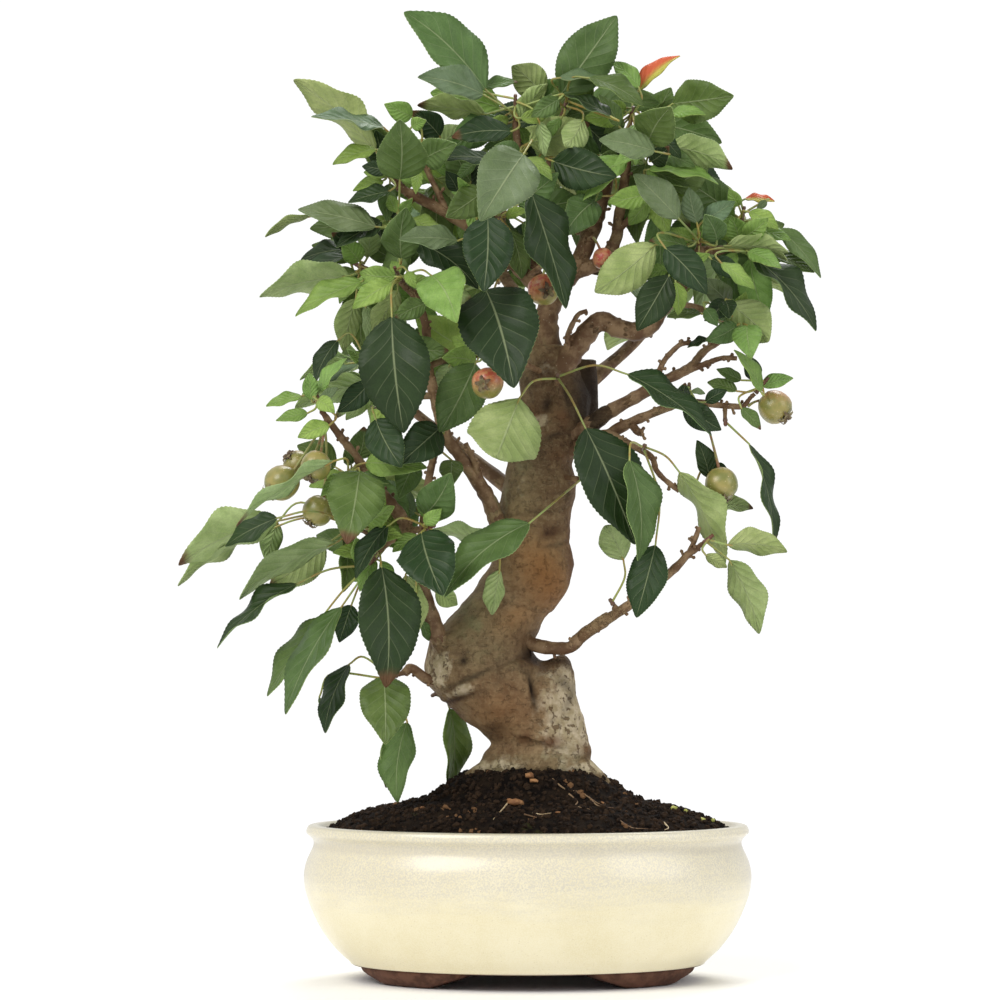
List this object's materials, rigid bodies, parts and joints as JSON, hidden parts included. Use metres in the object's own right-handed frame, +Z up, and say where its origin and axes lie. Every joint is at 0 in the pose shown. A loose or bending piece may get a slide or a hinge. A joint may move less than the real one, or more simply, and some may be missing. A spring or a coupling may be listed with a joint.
{
  "type": "crabapple bonsai",
  "caption": "Small crabapple tree with a curved trunk, serrated leaves and green-red fruit, in a cream glazed oval pot.",
  "frame": {"origin": "centre of the whole model's box, on the ground under the pot's feet", "axes": "+Z up the tree, +X to the right as seen from the front, +Y towards the back"},
  "size_m": [0.3214, 0.2252, 0.4817],
  "materials": {
    "glaze": "glossy",
    "soil": "rough",
    "bark": "matte",
    "leaf": "satin",
    "apple": "satin"
  },
  "bodies": {
    "root": {"apple_centre": "apple", "apple_hidden": "apple", "apple_low_right": "apple", "apple_right": "apple", "apple_top": "apple", "apples_left": "apple", "leaves_arch_left": "leaf", "leaves_back_crown": "leaf", "leaves_back_inner": "leaf", "leaves_back_left": "leaf", "leaves_back_low": "leaf", "leaves_back_mid": "leaf", "leaves_back_right": "leaf", "leaves_back_side": "leaf", "leaves_back_top": "leaf", "leaves_bulge_left": "leaf", "leaves_burr": "leaf", "leaves_centre_left": "leaf", "leaves_crown_centre": "leaf", "leaves_crown_inner": "leaf", "leaves_crown_left": "leaf", "leaves_crown_mid": "leaf", "leaves_crown_out": "leaf", "leaves_crown_right": "leaf", "leaves_crown_top": "leaf", "leaves_end_right": "leaf", "leaves_fork_left": "leaf", "leaves_fork_right": "leaf", "leaves_heart": "leaf", "leaves_high_right": "leaf", "leaves_hook_right": "leaf", "leaves_left_mid": "leaf", "leaves_low_left": "leaf", "leaves_low_right": "leaf", "leaves_low_right_spur": "leaf", "leaves_mid_high_left": "leaf", "leaves_mid_right": "leaf", "leaves_out_left": "leaf", "leaves_out_right": "leaf", "leaves_snag_left": "leaf", "leaves_spur_left": "leaf", "leaves_tip_right": "leaf", "leaves_top_left": "leaf", "leaves_trunk_front": "leaf", "leaves_trunk_right": "leaf", "leaves_twig_high_left": "leaf", "leaves_twig_left": "leaf", "leaves_twig_right": "leaf", "leaves_under_left": "leaf", "leaves_under_right": "leaf", "leaves_upright": "leaf", "leaves_upright_left": "leaf", "leaves_wiggle": "leaf", "leaves_wiggle_end": "leaf", "leaves_young_left": "leaf", "pot": "glaze", "soil": "soil", "wood": "bark"}
  },
  "joints": []
}
